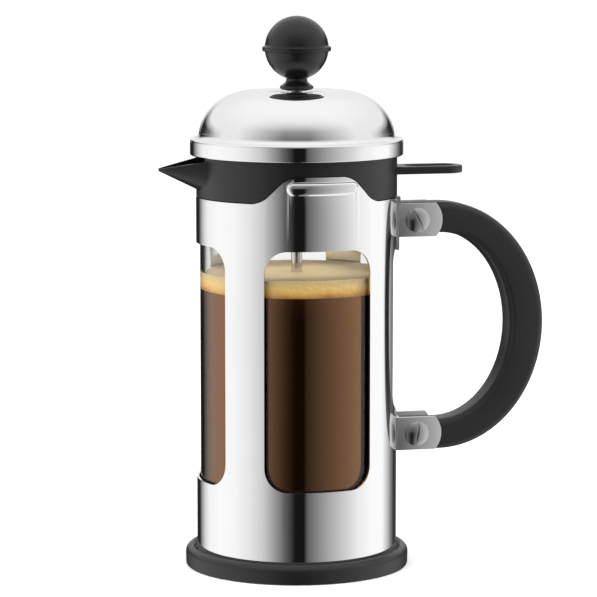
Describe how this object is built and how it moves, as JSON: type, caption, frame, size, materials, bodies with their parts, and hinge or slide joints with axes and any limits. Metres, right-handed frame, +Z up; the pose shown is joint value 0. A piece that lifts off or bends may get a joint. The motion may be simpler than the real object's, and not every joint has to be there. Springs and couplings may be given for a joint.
{
  "type": "french press coffee maker",
  "caption": "French press with a glass beaker in a polished windowed sleeve, domed lid, ball knob, pouring beak and D-shaped black handle.",
  "frame": {"origin": "on the beaker's axis, on the flat underside of the base ring", "axes": "+Z up along the beaker, +X from the beaker's axis towards the handle, -X to the pouring beak"},
  "size_m": [0.143, 0.0814, 0.1996],
  "materials": {
    "foot_plastic": "fine satin moulded texture",
    "cushion_rubber": "matt soft rubber",
    "sleeve_chrome": "mirror polish",
    "bracket_steel": "fine brushed grain along the strap",
    "handle_plastic": "satin moulded texture",
    "screw_steel": "polished round head",
    "glass": "clear borosilicate glass",
    "gasket_rubber": "matt soft rubber",
    "collar_plastic": "satin moulded texture",
    "lid_chrome": "mirror polish",
    "insert_plastic": "satin moulded texture",
    "bushing_plastic": "smooth moulded",
    "filter_steel": "stamped stainless steel",
    "rod_steel": "drawn bright rod",
    "knob_plastic": "semi-gloss moulded",
    "insert_brass": "turned",
    "mesh_steel": "fine woven wire",
    "spring_steel": "bright wire"
  },
  "bodies": {
    "frame": {"base_ring": "foot_plastic", "base_cushion": "cushion_rubber", "sleeve": "sleeve_chrome", "upper_bracket": "bracket_steel", "lower_bracket": "bracket_steel", "handle": "handle_plastic", "handle_screws": "screw_steel", "handle_nuts": "screw_steel"},
    "beaker": {"glass_beaker": "glass", "collar_gasket": "gasket_rubber", "spout_collar": "collar_plastic"},
    "rod_guide": {"guide_bushing": "bushing_plastic", "guide_clip": "filter_steel"},
    "lid": {"lid_dome": "lid_chrome", "lid_insert": "insert_plastic"},
    "plunger": {"plunger_rod": "rod_steel", "knob": "knob_plastic", "knob_insert": "insert_brass", "hub_nut": "filter_steel", "cross_plate": "filter_steel", "filter_mesh": "mesh_steel", "spring_plate": "filter_steel", "edge_spring": "spring_steel", "rod_collar": "filter_steel"}
  },
  "joints": [
    {"name": "beaker_lift", "type": "slide", "parent": "frame", "child": "beaker", "axis": [0, 0, 1], "range_m": [0, 0.15]},
    {"name": "lid_lift", "type": "slide", "parent": "beaker", "child": "rod_guide", "axis": [0, 0, 1], "range_m": [0, 0.15]},
    {"name": "lid_turn", "type": "hinge", "parent": "rod_guide", "child": "lid", "pos_m": [0, 0, 0.155], "axis": [0, 0, 1], "continuous": true},
    {"name": "plunger_slide", "type": "slide", "parent": "rod_guide", "child": "plunger", "axis": [0, 0, 1], "range_m": [0, 0.124]}
  ]
}
